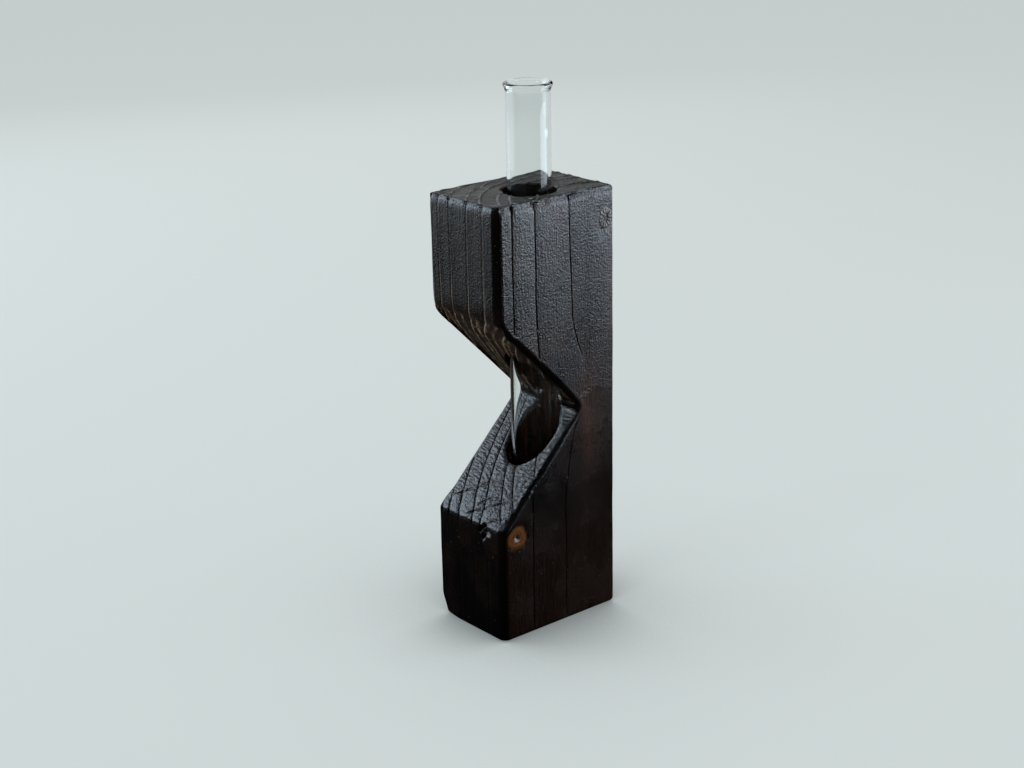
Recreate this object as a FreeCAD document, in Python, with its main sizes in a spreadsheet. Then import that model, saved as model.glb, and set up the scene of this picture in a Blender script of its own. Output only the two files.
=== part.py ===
import FreeCAD, Part
import os
import Sketcher

# Test tube vase: an upright block of charred softwood with a deep V notch in its front,
# and a loose glass test tube standing in a bore that crosses the notch.
#
# Frame: millimetres, +Z up, origin at the middle of the block's foot.
# X runs through the depth of the block, and the notch opens towards -X.
# Y runs through its thickness, and the bore lies a little nearer the -Y face.

os.makedirs("parts", exist_ok=True)
doc = FreeCAD.newDocument("test_tube_vase")
TOLERANCE = 1e-4

# Where the edges of the growth rings start beside the crease, from the near face towards +Y,
# as shares of the block's thickness. Those past 1 come into the wood further down the slant.
RING_EDGE_SHARES = (0.02, 0.31, 0.60, 0.74, 0.95, 1.10, 1.29, 1.50)

# Every driving dimension, in millimetres or degrees. A share is a part of the size it names.
SIZES = (
    ("block_depth", 55.0, "front to back, along X"),
    ("block_thickness", 37.0, "face to face, along Y"),
    ("block_height", 164.0, "foot to top end"),
    ("upright_arris_radius", 2.6, "long upright edges and the notch's edges, brushed round"),
    ("end_arris_radius", 1.5, "edges of the top end and of the foot"),
    ("notch_depth", 38.5, "front face to the line where the two slants would meet"),
    ("notch_angle", 90.0, "opening angle between the slants"),
    ("notch_height_share", 0.5, "the notch's middle, as a share of the block's height"),
    ("crease_radius", 2.6, "round at the bottom of the notch"),
    ("upper_ring_relief", 1.2, "how far a ring's soft wood is brushed out of the upper slant"),
    ("lower_ring_relief", 0.4, "the same on the lower slant"),
    ("upper_crest_wear", 0.3, "how far a ring's hard crest is brushed down on the upper slant"),
    ("lower_crest_wear", 0.1, "the same on the lower slant"),
    ("ring_drift_share", 0.7, "how far a ring moves towards -Y, as a share of its run towards -X"),
    ("bore_inset", 28.6, "front face to the bore's axis"),
    ("bore_side_offset", 3.0, "from the middle of the thickness to the bore's axis, towards -Y"),
    ("bore_floor_height", 41.0, "foot to the flat floor of the blind lower bore"),
    ("bore_clearance", 2.0, "gap all round between the tube's wall and the bore"),
    ("bore_mouth_radius", 0.8, "worn edge of the bore in the top end"),
    ("tube_diameter", 16.0, "outside of the tube's straight wall"),
    ("tube_wall", 1.1, "thickness of the glass"),
    ("tube_length", 160.0, "round bottom to the top of the rim"),
    ("rim_overhang", 0.8, "how far the rim's bead stands out from the wall"),
    ("tube_rest_gap", 0.3, "between the round bottom and the bore's floor"),
    ("cut_overrun", 5.0, "how far a cut starts outside the wood"),
)


def make_sheet():
    """The driving dimensions: name, value and meaning in columns A, B and C."""
    sheet = doc.addObject("Spreadsheet::Sheet", "sizes")
    for row, (name, value, meaning) in enumerate(SIZES, start=1):
        sheet.set("A%d" % row, name)
        sheet.set("B%d" % row, str(value))
        sheet.set("C%d" % row, meaning)
        sheet.setAlias("B%d" % row, name)
    doc.recompute()
    return sheet


def size(name):
    """The value that a named cell holds."""
    return float(sheet.get(name))


def new_body(name):
    body = doc.addObject("PartDesign::Body", name)
    body.Label = name
    return body


def new_sketch(body, name, plane):
    """An empty sketch on one of the body's own origin planes, such as XY_Plane."""
    sketch = body.newObject("Sketcher::SketchObject", name)
    support = next(feature for feature in body.Origin.OriginFeatures if feature.Role == plane)
    sketch.AttachmentSupport = [(support, "")]
    sketch.MapMode = "FlatFace"
    return sketch


def add_loop(sketch, points):
    """A closed loop of straight lines through the points; returns the lines' numbers."""
    ends = [FreeCAD.Vector(x, y, 0) for x, y in points]
    numbers = []
    for start, end in zip(ends, ends[1:] + ends[:1]):
        numbers.append(sketch.addGeometry(Part.LineSegment(start, end)))
    for first, second in zip(numbers, numbers[1:] + numbers[:1]):
        sketch.addConstraint(Sketcher.Constraint("Coincident", first, 2, second, 1))
    return numbers


def drive(sketch, constraint, name, formula):
    """Adds one dimension under a name and ties it to the sheet."""
    number = sketch.addConstraint(constraint)
    sketch.renameConstraint(number, name)
    sketch.setExpression("Constraints." + name, formula)


def edges_where(feature, wanted):
    """Names of the feature's edges that pass the test."""
    return ["Edge%d" % n for n, edge in enumerate(feature.Shape.Edges, start=1) if wanted(edge)]


def lies_at(edge, axis, value):
    """True where the whole edge has this coordinate along the axis x, y or z."""
    box = edge.BoundBox
    low, high = getattr(box, axis.upper() + "Min"), getattr(box, axis.upper() + "Max")
    return abs(low - value) < TOLERANCE and abs(high - value) < TOLERANCE


def runs_along_y(edge):
    return edge.BoundBox.XLength < TOLERANCE and edge.BoundBox.ZLength < TOLERANCE


def round_edges(body, name, base, edges, radius_formula):
    """A rounding of the named edges, with its radius tied to the sheet."""
    rounding = body.newObject("PartDesign::Fillet", name)
    rounding.Base = (base, edges)
    rounding.setExpression("Radius", radius_formula)
    doc.recompute()
    return rounding


def cut_pocket(body, name, sketch, before):
    """A pocket that must take wood away: compares the volume with the feature before it."""
    pocket = body.newObject("PartDesign::Pocket", name)
    pocket.Profile = sketch
    sketch.Visibility = False
    return pocket, before.Shape.Volume


def check_smaller(pocket, volume_before):
    doc.recompute()
    if not pocket.Shape.Volume < volume_before - 1.0:
        raise RuntimeError("%s cut nothing" % pocket.Label)


# Heights and places that several features share, as formulas of the sheet's cells.
NOTCH_Z = "sizes.block_height * sizes.notch_height_share"
CREASE_X = "sizes.notch_depth - sizes.block_depth / 2"
RING_START_X = "sizes.notch_depth - sizes.block_depth / 2 - 2 * sizes.crease_radius"
SLANT_RISE = "tan(sizes.notch_angle / 2)"
BORE_X = "sizes.bore_inset - sizes.block_depth / 2"
BORE_Y = "-sizes.bore_side_offset"
BORE_RADIUS = "sizes.tube_diameter / 2 + sizes.bore_clearance"
RIM_BEAD_RADIUS = "(sizes.tube_wall + sizes.rim_overhang) / 2"


def make_batten(body):
    """The squared timber: a rectangle about the Z axis, as tall as the block."""
    half_x, half_y = size("block_depth") / 2, size("block_thickness") / 2
    sketch = new_sketch(body, "batten_section", "XY_Plane")
    near, back, far, front = add_loop(
        sketch, ((-half_x, -half_y), (half_x, -half_y), (half_x, half_y), (-half_x, half_y)))
    for line in (near, far):
        sketch.addConstraint(Sketcher.Constraint("Horizontal", line))
    for line in (back, front):
        sketch.addConstraint(Sketcher.Constraint("Vertical", line))
    sketch.addConstraint(Sketcher.Constraint("Symmetric", near, 1, far, 1, -1, 1))
    drive(sketch, Sketcher.Constraint("DistanceX", near, 1, near, 2, size("block_depth")),
          "depth", "sizes.block_depth")
    drive(sketch, Sketcher.Constraint("DistanceY", back, 1, back, 2, size("block_thickness")),
          "thickness", "sizes.block_thickness")
    batten = body.newObject("PartDesign::Pad", "batten")
    batten.Profile = sketch
    batten.setExpression("Length", "sizes.block_height")
    sketch.Visibility = False
    doc.recompute()
    return batten


def make_notch(body, batten):
    """The V notch: a triangle with its point at the crease, cut right through along Y."""
    crease_x = size("notch_depth") - size("block_depth") / 2
    crease_z = size("block_height") * size("notch_height_share")
    reach = size("notch_depth") + size("cut_overrun")
    mouth_x = crease_x - reach
    sketch = new_sketch(body, "notch_section", "XZ_Plane")
    lower, upper, mouth = add_loop(
        sketch, ((mouth_x, crease_z - reach), (crease_x, crease_z), (mouth_x, crease_z + reach)))
    sketch.addConstraint(Sketcher.Constraint("Vertical", mouth))
    rise = "(sizes.notch_depth + sizes.cut_overrun) * tan(sizes.notch_angle / 2)"
    drive(sketch, Sketcher.Constraint("DistanceX", -1, 1, lower, 2, crease_x), "crease_x", CREASE_X)
    drive(sketch, Sketcher.Constraint("DistanceY", -1, 1, lower, 2, crease_z), "crease_z", NOTCH_Z)
    drive(sketch, Sketcher.Constraint("DistanceX", lower, 1, lower, 2, reach),
          "reach", "sizes.notch_depth + sizes.cut_overrun")
    drive(sketch, Sketcher.Constraint("DistanceY", lower, 1, lower, 2, reach), "lower_rise", rise)
    drive(sketch, Sketcher.Constraint("DistanceY", upper, 1, upper, 2, reach), "upper_rise", rise)
    notch, volume = cut_pocket(body, "notch", sketch, batten)
    notch.Midplane = True
    notch.setExpression("Length", "sizes.block_thickness + 2 * sizes.cut_overrun")
    check_smaller(notch, volume)
    return notch


def round_block(body, notch):
    """The crease first, then the upright and notch edges, then both ends."""
    crease_x = size("notch_depth") - size("block_depth") / 2
    front_x = -size("block_depth") / 2
    top_z = size("block_height")

    def is_crease(edge):
        return runs_along_y(edge) and lies_at(edge, "x", crease_x)

    def is_end(edge):
        return lies_at(edge, "z", 0) or lies_at(edge, "z", top_z)

    def is_arris(edge):
        return not is_end(edge) and (not runs_along_y(edge) or lies_at(edge, "x", front_x))

    crease = round_edges(body, "crease", notch, edges_where(notch, is_crease), "sizes.crease_radius")
    arrises = round_edges(body, "upright_arrises", crease, edges_where(crease, is_arris),
                          "sizes.upright_arris_radius")
    return round_edges(body, "end_arrises", arrises, edges_where(arrises, is_end),
                       "sizes.end_arris_radius")


def make_bore(body, rounded):
    """One straight bore: down through the top, across the notch, blind in the lower half."""
    bore_x = size("bore_inset") - size("block_depth") / 2
    bore_radius = size("tube_diameter") / 2 + size("bore_clearance")
    centre = FreeCAD.Vector(bore_x, -size("bore_side_offset"), 0)
    sketch = new_sketch(body, "bore_section", "XY_Plane")
    sketch.setExpression("AttachmentOffset.Base.z", "sizes.block_height")
    ring = sketch.addGeometry(Part.Circle(centre, FreeCAD.Vector(0, 0, 1), bore_radius))
    drive(sketch, Sketcher.Constraint("DistanceX", -1, 1, ring, 3, centre.x), "bore_x", BORE_X)
    drive(sketch, Sketcher.Constraint("DistanceY", -1, 1, ring, 3, centre.y), "bore_y", BORE_Y)
    drive(sketch, Sketcher.Constraint("Radius", ring, bore_radius), "bore_radius", BORE_RADIUS)
    bore, volume = cut_pocket(body, "bore", sketch, rounded)
    bore.setExpression("Length", "sizes.block_height - sizes.bore_floor_height")
    check_smaller(bore, volume)

    def is_mouth(edge):
        return lies_at(edge, "z", size("block_height")) and isinstance(edge.Curve, Part.Circle)

    return round_edges(body, "bore_mouth", bore, edges_where(bore, is_mouth), "sizes.bore_mouth_radius")


def brush_rings(body, name, before, side, relief_name, wear_name):
    """The growth rings across one slant of the notch, side 1 for the upper slant and -1 for the lower.

    Each ring is deepest at its edge towards -Y and rises to its crest, so the outline is a row of
    saw teeth. It stands just in front of the crease, and the cut runs down the slant and sideways
    as the rings do.
    """
    start = 2 * size("crease_radius")
    level = size("block_height") * size("notch_height_share") + side * start
    level_formula = "%s + %d * 2 * sizes.crease_radius * %s" % (NOTCH_Z, side, SLANT_RISE)
    air = (level - side * size("crease_radius") / 2,
           "%s - %d * sizes.crease_radius / 2" % (level_formula, side))
    deep = (level + side * size(relief_name), "%s + %d * sizes.%s" % (level_formula, side, relief_name))
    crest = (level + side * size(wear_name), "%s + %d * sizes.%s" % (level_formula, side, wear_name))
    places = [(RING_EDGE_SHARES[0], air)]
    for low_share, high_share in zip(RING_EDGE_SHARES, RING_EDGE_SHARES[1:]):
        places += [(low_share, deep), (high_share, crest)]
    places.append((RING_EDGE_SHARES[-1], air))

    sketch = new_sketch(body, name + "_section", "YZ_Plane")
    sketch.setExpression("AttachmentOffset.Base.z", RING_START_X)
    across = [size("block_thickness") * (share - 0.5) for share, _ in places]
    lines = add_loop(sketch, [(y, height[0]) for y, (_, height) in zip(across, places)])
    for line, y, (share, height) in zip(lines, across, places):
        drive(sketch, Sketcher.Constraint("DistanceX", -1, 1, line, 1, y), "across_%d" % line,
              "sizes.block_thickness * (%s - 0.5)" % share)
        drive(sketch, Sketcher.Constraint("DistanceY", -1, 1, line, 1, height[0]), "up_%d" % line,
              height[1])
    rings, volume = cut_pocket(body, name, sketch, before)
    rings.UseCustomVector = True
    rings.AlongSketchNormal = True
    rings.Direction = FreeCAD.Vector(-1, -size("ring_drift_share"), side)
    rings.setExpression("Direction.y", "-sizes.ring_drift_share")
    rings.setExpression("Direction.z", "%d * %s" % (side, SLANT_RISE))
    rings.setExpression("Length", "sizes.notch_depth + sizes.cut_overrun")
    check_smaller(rings, volume)
    return rings


def make_timber_block():
    body = new_body("timber_block")
    batten = make_batten(body)
    notch = make_notch(body, batten)
    rounded = round_block(body, notch)
    bored = make_bore(body, rounded)
    upper_rings = brush_rings(body, "upper_rings", bored, 1, "upper_ring_relief", "upper_crest_wear")
    body.Tip = brush_rings(body, "lower_rings", upper_rings, -1, "lower_ring_relief", "lower_crest_wear")
    return body


def make_test_tube():
    """The glass: half its wall as one closed outline, turned about the tube's axis.

    The round bottom is two half circles about one centre, and the rim is a bead whose circle
    touches the inside wall and stands out from the outside wall.
    """
    body = new_body("test_tube")
    outer = size("tube_diameter") / 2
    inner = outer - size("tube_wall")
    bead = (size("tube_wall") + size("rim_overhang")) / 2
    bead_centre = FreeCAD.Vector(inner + bead, size("tube_length") - bead, 0)
    wall_top = bead_centre.y - (bead ** 2 - (outer - bead_centre.x) ** 2) ** 0.5
    bottom_centre = FreeCAD.Vector(0, outer, 0)
    facing = FreeCAD.Vector(0, 0, 1)
    quarter = FreeCAD.Units.Quantity("90 deg").getValueAs("rad").Value

    def arc(centre, radius, start, end):
        return Part.ArcOfCircle(Part.Circle(centre, facing, radius), start, end)

    def line(x1, y1, x2, y2):
        return Part.LineSegment(FreeCAD.Vector(x1, y1, 0), FreeCAD.Vector(x2, y2, 0))

    joint_angle = FreeCAD.Vector(1, 0, 0).getAngle(
        FreeCAD.Vector(outer - bead_centre.x, wall_top - bead_centre.y, 0))
    sketch = new_sketch(body, "tube_section", "XZ_Plane")
    outer_bottom = sketch.addGeometry(arc(bottom_centre, outer, -quarter, 0))
    outer_wall = sketch.addGeometry(line(outer, outer, outer, wall_top))
    rim = sketch.addGeometry(arc(bead_centre, bead, -joint_angle, 2 * quarter))
    inner_wall = sketch.addGeometry(line(inner, bead_centre.y, inner, outer))
    inner_bottom = sketch.addGeometry(arc(bottom_centre, inner, -quarter, 0))
    axis_line = sketch.addGeometry(line(0, outer - inner, 0, 0))

    tie = Sketcher.Constraint
    sketch.addConstraint(tie("Coincident", outer_bottom, 1, -1, 1))
    sketch.addConstraint(tie("PointOnObject", outer_bottom, 3, -2))
    sketch.addConstraint(tie("Coincident", inner_bottom, 3, outer_bottom, 3))
    sketch.addConstraint(tie("PointOnObject", inner_bottom, 1, -2))
    sketch.addConstraint(tie("Coincident", inner_bottom, 1, axis_line, 1))
    sketch.addConstraint(tie("Coincident", axis_line, 2, outer_bottom, 1))
    sketch.addConstraint(tie("Tangent", outer_bottom, 2, outer_wall, 1))
    sketch.addConstraint(tie("Tangent", inner_wall, 2, inner_bottom, 2))
    sketch.addConstraint(tie("Coincident", outer_wall, 2, rim, 1))
    sketch.addConstraint(tie("Tangent", rim, 2, inner_wall, 1))
    sketch.addConstraint(tie("Vertical", outer_wall))
    sketch.addConstraint(tie("Vertical", inner_wall))
    drive(sketch, tie("Radius", outer_bottom, outer), "outer_radius", "sizes.tube_diameter / 2")
    drive(sketch, tie("Radius", inner_bottom, inner), "inner_radius",
          "sizes.tube_diameter / 2 - sizes.tube_wall")
    drive(sketch, tie("Radius", rim, bead), "bead_radius", RIM_BEAD_RADIUS)
    drive(sketch, tie("DistanceY", -1, 1, rim, 3, bead_centre.y), "bead_height",
          "sizes.tube_length - " + RIM_BEAD_RADIUS)

    glass = body.newObject("PartDesign::Revolution", "glass")
    glass.Profile = sketch
    glass.ReferenceAxis = (sketch, ["V_Axis"])
    sketch.Visibility = False
    body.setExpression("Placement.Base.x", BORE_X)
    body.setExpression("Placement.Base.y", BORE_Y)
    body.setExpression("Placement.Base.z", "sizes.bore_floor_height + sizes.tube_rest_gap")
    doc.recompute()
    return body


def check_and_export(bodies):
    """Stops at any failed feature or bad solid, then writes one STEP file for each node."""
    doc.recompute()
    for thing in doc.Objects:
        if "Invalid" in thing.State or "Error" in thing.State:
            raise RuntimeError("%s failed to build" % thing.Label)
    for body in bodies:
        if body.Shape.isNull() or not body.Shape.isValid() or len(body.Shape.Solids) != 1:
            raise RuntimeError("%s isn't one valid solid" % body.Label)
        body.Shape.exportStep("parts/%s.step" % body.Label)
        box = body.Shape.BoundBox
        print("%s: %.1f mm3, x %.2f to %.2f, y %.2f to %.2f, z %.2f to %.2f" % (
            body.Label, body.Shape.Volume, box.XMin, box.XMax, box.YMin, box.YMax, box.ZMin, box.ZMax))


sheet = make_sheet()
check_and_export((make_timber_block(), make_test_tube()))
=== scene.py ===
# %% [markdown]
# # A single-stem vase of charred wood with a test tube
#
# The real vase is one upright piece of softwood. A deep V has been sawn out of one narrow side, a round
# bore runs down from the top end and crosses the V, and a plain rimmed test tube stands loose in it.
# The wood was charred, brushed along the grain and lacquered, so its year rings stand out in relief.
# The CAD model is loaded first. It is the fixed frame that every visible piece has to fit.

# %% Load the frame
import math

import bpy
import numpy as np
from mathutils import Matrix, Vector


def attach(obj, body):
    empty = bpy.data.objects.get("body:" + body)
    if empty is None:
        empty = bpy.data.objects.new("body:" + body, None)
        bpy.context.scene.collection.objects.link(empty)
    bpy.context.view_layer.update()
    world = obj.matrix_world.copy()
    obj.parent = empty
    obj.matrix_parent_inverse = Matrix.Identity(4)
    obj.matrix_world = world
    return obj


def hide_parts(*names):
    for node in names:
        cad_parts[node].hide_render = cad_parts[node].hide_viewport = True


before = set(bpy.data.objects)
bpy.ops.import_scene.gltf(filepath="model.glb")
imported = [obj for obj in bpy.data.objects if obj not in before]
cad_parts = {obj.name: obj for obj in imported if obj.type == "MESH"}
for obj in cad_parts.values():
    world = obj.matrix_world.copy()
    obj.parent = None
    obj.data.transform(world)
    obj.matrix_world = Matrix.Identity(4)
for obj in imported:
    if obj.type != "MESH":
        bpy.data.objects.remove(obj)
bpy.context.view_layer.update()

MM = 0.001
scene = bpy.context.scene

# %% [markdown]
# ## The camera
#
# A camera can be placed by eye, or worked out from the edges of the block, whose sizes are known. Here
# the block's corners gave the place, the turn, the rise, a slight tilt and the lens. A camera that
# isn't turned looks straight down, and three turns in a row bring it in place.

# %% Place the camera
CAMERA_TURN = math.radians(-39.855)
CAMERA_RISE = math.radians(18.942)
CAMERA_TILT = math.radians(-1.095)
CAMERA_PLACE = (-0.42064, -0.49663, 0.31327)
CAMERA_LENS = 65.95


def add_object(name, data):
    """A new object in the scene that shows the data."""
    thing = bpy.data.objects.new(name, data)
    scene.collection.objects.link(thing)
    return thing


def place_camera():
    """The camera with its lens and film width in mm, and the distances in m that it sees. The tilt is
    about its own line of sight, a quarter turn less the rise about level, and the turn about upright."""
    data = bpy.data.cameras.new("camera")
    data.lens = CAMERA_LENS
    data.sensor_width = 36.0
    data.clip_start = 0.02
    data.clip_end = 50.0
    camera = add_object("camera", data)
    camera.matrix_world = Matrix.Translation(CAMERA_PLACE)
    for angle, axis in ((CAMERA_TURN, "Z"), (0.5 * math.pi - CAMERA_RISE, "X"), (CAMERA_TILT, "Z")):
        camera.matrix_world @= Matrix.Rotation(angle, 4, axis)
    return camera


scene.camera = place_camera()
scene.view_settings.view_transform = "Standard"
print("camera stands", round(math.hypot(*CAMERA_PLACE), 3), "m from the foot")

# %% [markdown]
# ## Small tools for shapes
#
# Wood is never even, so every face needs soft unevenness. It could come from Blender's textures,
# but the shape is worked out in numpy here, so a small lattice of random heights does it: each point
# blends the eight corners of its cube. The seed is fixed, so each run gives the same block.

# %% Lumps, soft steps and mesh filling
def joined(*parts):
    """Coordinates joined into points; a part with fewer values is repeated to fit the others."""
    return np.stack(np.broadcast_arrays(*parts), axis=-1)


def full_turn(count):
    """That many angles, evenly round a circle."""
    return np.linspace(0.0, 2.0 * math.pi, count, endpoint=False)


def soft_step(value, low, high):
    """0 below low, 1 above high, and 3t^2 - 2t^3 between, where t is the share of the way."""
    share = np.clip((value - low) / (high - low), 0.0, 1.0)
    return share * share * (3.0 - 2.0 * share)


def bell(value, half_width):
    """A bump that is 1 where value is 0 and falls off as e to the minus (value / half_width) squared."""
    return np.exp(-((value / half_width) ** 2))


def lumps(points, size, seed):
    """Smooth random heights from -1 to 1, from a lattice of cubes of that size. The weight of a cube's
    corner falls off along each axis as an S-shaped curve."""
    lattice = np.random.default_rng(seed).uniform(-1.0, 1.0, (32, 32, 32))
    places = points / size + 3.7 * seed
    cell = np.floor(places).astype(int)
    share = soft_step(places - cell, 0.0, 1.0)
    total = np.zeros(points.shape[:-1])
    for corner in np.ndindex(2, 2, 2):
        weight = np.prod(np.where(corner, share, 1.0 - share), axis=-1)
        spot = (cell + np.array(corner)) % 32
        total += weight * lattice[spot[..., 0], spot[..., 1], spot[..., 2]]
    return total


def grid_faces(rows, columns):
    """Four-sided faces between neighbouring rows of a grid whose columns close into a loop."""
    row = columns * np.arange(rows - 1)[:, None]
    column = np.arange(columns)
    following = (column + 1) % columns
    return joined(row + column, row + following, row + columns + following, row + columns + column)


def fill_mesh(name, points, loops, sizes, maps=None):
    """A mesh from points in mm, the list of face corners, the number of corners of each face, and
    UV maps given per point."""
    mesh = bpy.data.meshes.new(name)
    mesh.vertices.add(len(points))
    mesh.vertices.foreach_set("co", (points * MM).astype(np.float32).ravel())
    mesh.loops.add(len(loops))
    mesh.loops.foreach_set("vertex_index", loops.astype(np.int32))
    mesh.polygons.add(len(sizes))
    starts = np.concatenate([[0], np.cumsum(sizes)[:-1]])
    mesh.polygons.foreach_set("loop_start", starts.astype(np.int32))
    for key, values in (maps or {}).items():
        layer = mesh.uv_layers.new(name=key, do_init=False)
        layer.data.foreach_set("uv", values[loops].astype(np.float32).ravel())
    mesh.update(calc_edges=True)
    mesh.validate()
    return mesh


def closed_grid(points):
    """Faces of a grid whose first and last rows are poles: rows of quads between, and a fan of
    triangles round each pole. The points of the middle rows come first, then the two poles."""
    rows, columns = points.shape[:2]
    quads = grid_faces(rows - 2, columns)
    first = np.arange(columns)
    following = (first + 1) % columns
    last_row = (rows - 3) * columns
    low_pole = (rows - 2) * columns
    low_fan = joined(low_pole, following, first)
    high_fan = joined(low_pole + 1, first + last_row, following + last_row)
    loops = np.concatenate([quads.ravel(), low_fan.ravel(), high_fan.ravel()])
    sizes = np.repeat([4, 3], [quads.size // 4, 2 * columns])
    return pole_rows(points), loops, sizes


def pole_rows(values):
    """Values of a closed grid in the order of its points."""
    width = values.shape[-1]
    return np.vstack([values[1:-1].reshape(-1, width), values[0, :1], values[-1, :1]])


def closed_object(name, grid, maps=None):
    """A new object from a closed grid and its UV maps."""
    points, loops, sizes = closed_grid(grid)
    return add_object(name, fill_mesh(name, points, loops, sizes, maps))


print("tools ready")

# %% [markdown]
# ## The year rings
#
# The rings are the growth rings of a tree whose middle lies just outside the block, in front of its wide
# near face. A ring is then a circle round that middle, at a radius that was read off the top end and the
# faces. One ring number for each point in space gives the same ring on the end, the sides and both
# slants of the notch, so they run on round every edge, as they do in real wood.

# %% Rings as a number in space
RING_RADII = np.array([0.0, 5.0, 15.5, 26.0, 35.2, 39.4, 45.6, 50.3, 56.7, 61.4, 64.6, 68.5, 73.0])
PITH_HEIGHTS = (0.0, 45.0, 62.0, 92.0, 104.0, 118.0, 140.0, 164.0)
PITH_X = (9.2, 9.0, 9.6, 11.2, 12.6, 12.0, 12.0, 12.2)
PITH_Y = (-33.0, -33.0, -33.4, -34.1, -33.9, -33.5, -33.2, -33.0)
NARROWING_RADII = (0.0, 26.0, 33.0, 38.0, 58.5, 75.0)
NARROWING = (0.0, 0.0, 1.2, 1.8, 2.9, 3.2)
BEND_MIDDLE = (-8.0, 42.0)
BEND_REACH = 7.0
BEND_DEPTH = 2.9


def wood_place(points):
    """For each point: the distance from the pith, which wanders a little, and the way round it as an
    arc length at 40 mm. The outer rings lie closer below the notch, and all bend round the torn knot."""
    height = points[..., 2]
    across = points[..., 0] - np.interp(height, PITH_HEIGHTS, PITH_X)
    away = points[..., 1] - np.interp(height, PITH_HEIGHTS, PITH_Y)
    stretched = points * (1.0, 1.0, 0.35)
    radius = np.hypot(across, away) + 0.30 * lumps(stretched, 11.0, 3) + 0.12 * lumps(stretched, 4.0, 4)
    lower = 1.0 - soft_step(height, 58.0, 118.0)
    radius = radius + lower * np.interp(radius, NARROWING_RADII, NARROWING)
    knot_gap = np.hypot(points[..., 1] - BEND_MIDDLE[0], height - BEND_MIDDLE[1])
    radius = radius - BEND_DEPTH * bell(knot_gap, BEND_REACH) * soft_step(-points[..., 0], 15.0, 27.0)
    return radius, 40.0 * np.arctan2(across, away)


def ring_place(points):
    """The ring number with its fraction, the distances in mm past the inner line and before the outer
    line, and the arc round the pith."""
    radius, arc = wood_place(points)
    number = np.interp(radius, RING_RADII, np.arange(len(RING_RADII)))
    inner = np.minimum(np.floor(number), len(RING_RADII) - 2).astype(int)
    return number, radius - RING_RADII[inner], RING_RADII[inner + 1] - radius, arc


sample = ring_place(np.array([[-9.3, -18.5, 162.0], [-19.8, -18.5, 150.0], [7.2, -18.5, 162.0]]))[0]
print("three lines that should be whole numbers:", np.round(sample, 2))

# %% [markdown]
# ## The outline of the block
#
# The block could be a box with a wedge cut out, but then its faces have no points to carve. Instead it
# is a stack of level slices: each slice is a rectangle with rounded corners whose front side follows the
# V. Near a ring line the points of a slice crowd together, so a groove half a millimetre wide keeps its
# shape without a fine mesh everywhere.

# %% Sizes of the block, in mm, and numbers of points
HALF_DEPTH = 27.5
HALF_THICK = 18.5
TALL = 164.0
NOTCH_MIDDLE = 82.0
NOTCH_APEX = 11.0
CREASE_ROUND = 3.6
BORE_X = 1.1
BORE_Y = -3.0
BORE_RADIUS = 10.0
BORE_FLOOR = 41.0
END_ROUND = 2.0
NEAR_ARRIS = 3.1
NEAR_POINTS = 96
BACK_POINTS = 44
FAR_POINTS = 64
FRONT_POINTS = 108
CORNER_POINTS = 10
TRIAL_POINTS = 500
SLICE_RUNS = ((END_ROUND, 37.0, 22), (37.0, 42.0, 9), (42.0, 80.0, 82), (80.0, 84.0, 11),
              (84.0, 119.0, 50), (119.0, 124.0, 8), (124.0, 158.0, 19), (158.0, TALL - END_ROUND, 6))


def notch_line(height):
    """How far forward the block reaches at a height: the upright front, or the V where that is
    deeper. The V has an arc in its crease, and its two mouths are blended by a soft minimum."""
    above = np.abs(height - NOTCH_MIDDLE)
    arc_end = CREASE_ROUND / math.sqrt(2.0)
    arc = np.sqrt(np.maximum(CREASE_ROUND**2 - np.minimum(above, arc_end) ** 2, 0.0))
    slope = np.where(above > arc_end, NOTCH_APEX - above, NOTCH_APEX - CREASE_ROUND * math.sqrt(2.0) + arc)
    softness = np.where(height > NOTCH_MIDDLE, 1.5, 0.35)
    return -HALF_DEPTH + softness * np.logaddexp(0.0, (slope + HALF_DEPTH) / softness)


def slice_heights():
    """Heights and insets of the slices: arcs at foot and top, and closer slices on the slants."""
    turn = np.linspace(0.0, 0.5 * math.pi, 6)
    low_arc = END_ROUND * (1.0 - np.cos(turn))
    low_inset = END_ROUND * (1.0 - np.sin(turn))
    straight = np.concatenate([np.linspace(*run)[1:] for run in SLICE_RUNS])[:-1]
    heights = np.concatenate([low_arc, straight, TALL - low_arc[::-1]])
    insets = np.concatenate([low_inset, np.zeros(len(straight)), low_inset[::-1]])
    return heights, insets


def crowded(start, end, count):
    """Points on straight runs from start to end, one run per slice. The density along a run is 1 plus
    a bell round each ring line, and points are spaced evenly in its running total."""
    def between(share):
        return start[:, None] + (end - start)[:, None] * share[..., None]

    share = np.linspace(0.0, 1.0, TRIAL_POINTS)
    fine = between(share[None])
    past, before = ring_place(fine)[1:3]
    step = np.linalg.norm(end - start, axis=-1)[:, None] / (TRIAL_POINTS - 1.0)
    slope = np.abs(np.gradient(wood_place(fine)[0], axis=1)) / step
    gap = np.minimum(past, before) / np.maximum(slope, 0.3)
    density = 1.0 + 4.0 * bell(gap, 0.9)
    total = np.cumsum(density, axis=1)
    total = (total - total[:, :1]) / (total[:, -1:] - total[:, :1])
    row = np.arange(len(start))[:, None]
    wanted = (np.arange(count) + 0.5)[None, :] / count
    found = np.interp((wanted + row).ravel(), (total * 0.9999999 + row).ravel(), (share + row).ravel())
    return between(found.reshape(len(start), count) - row)


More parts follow.
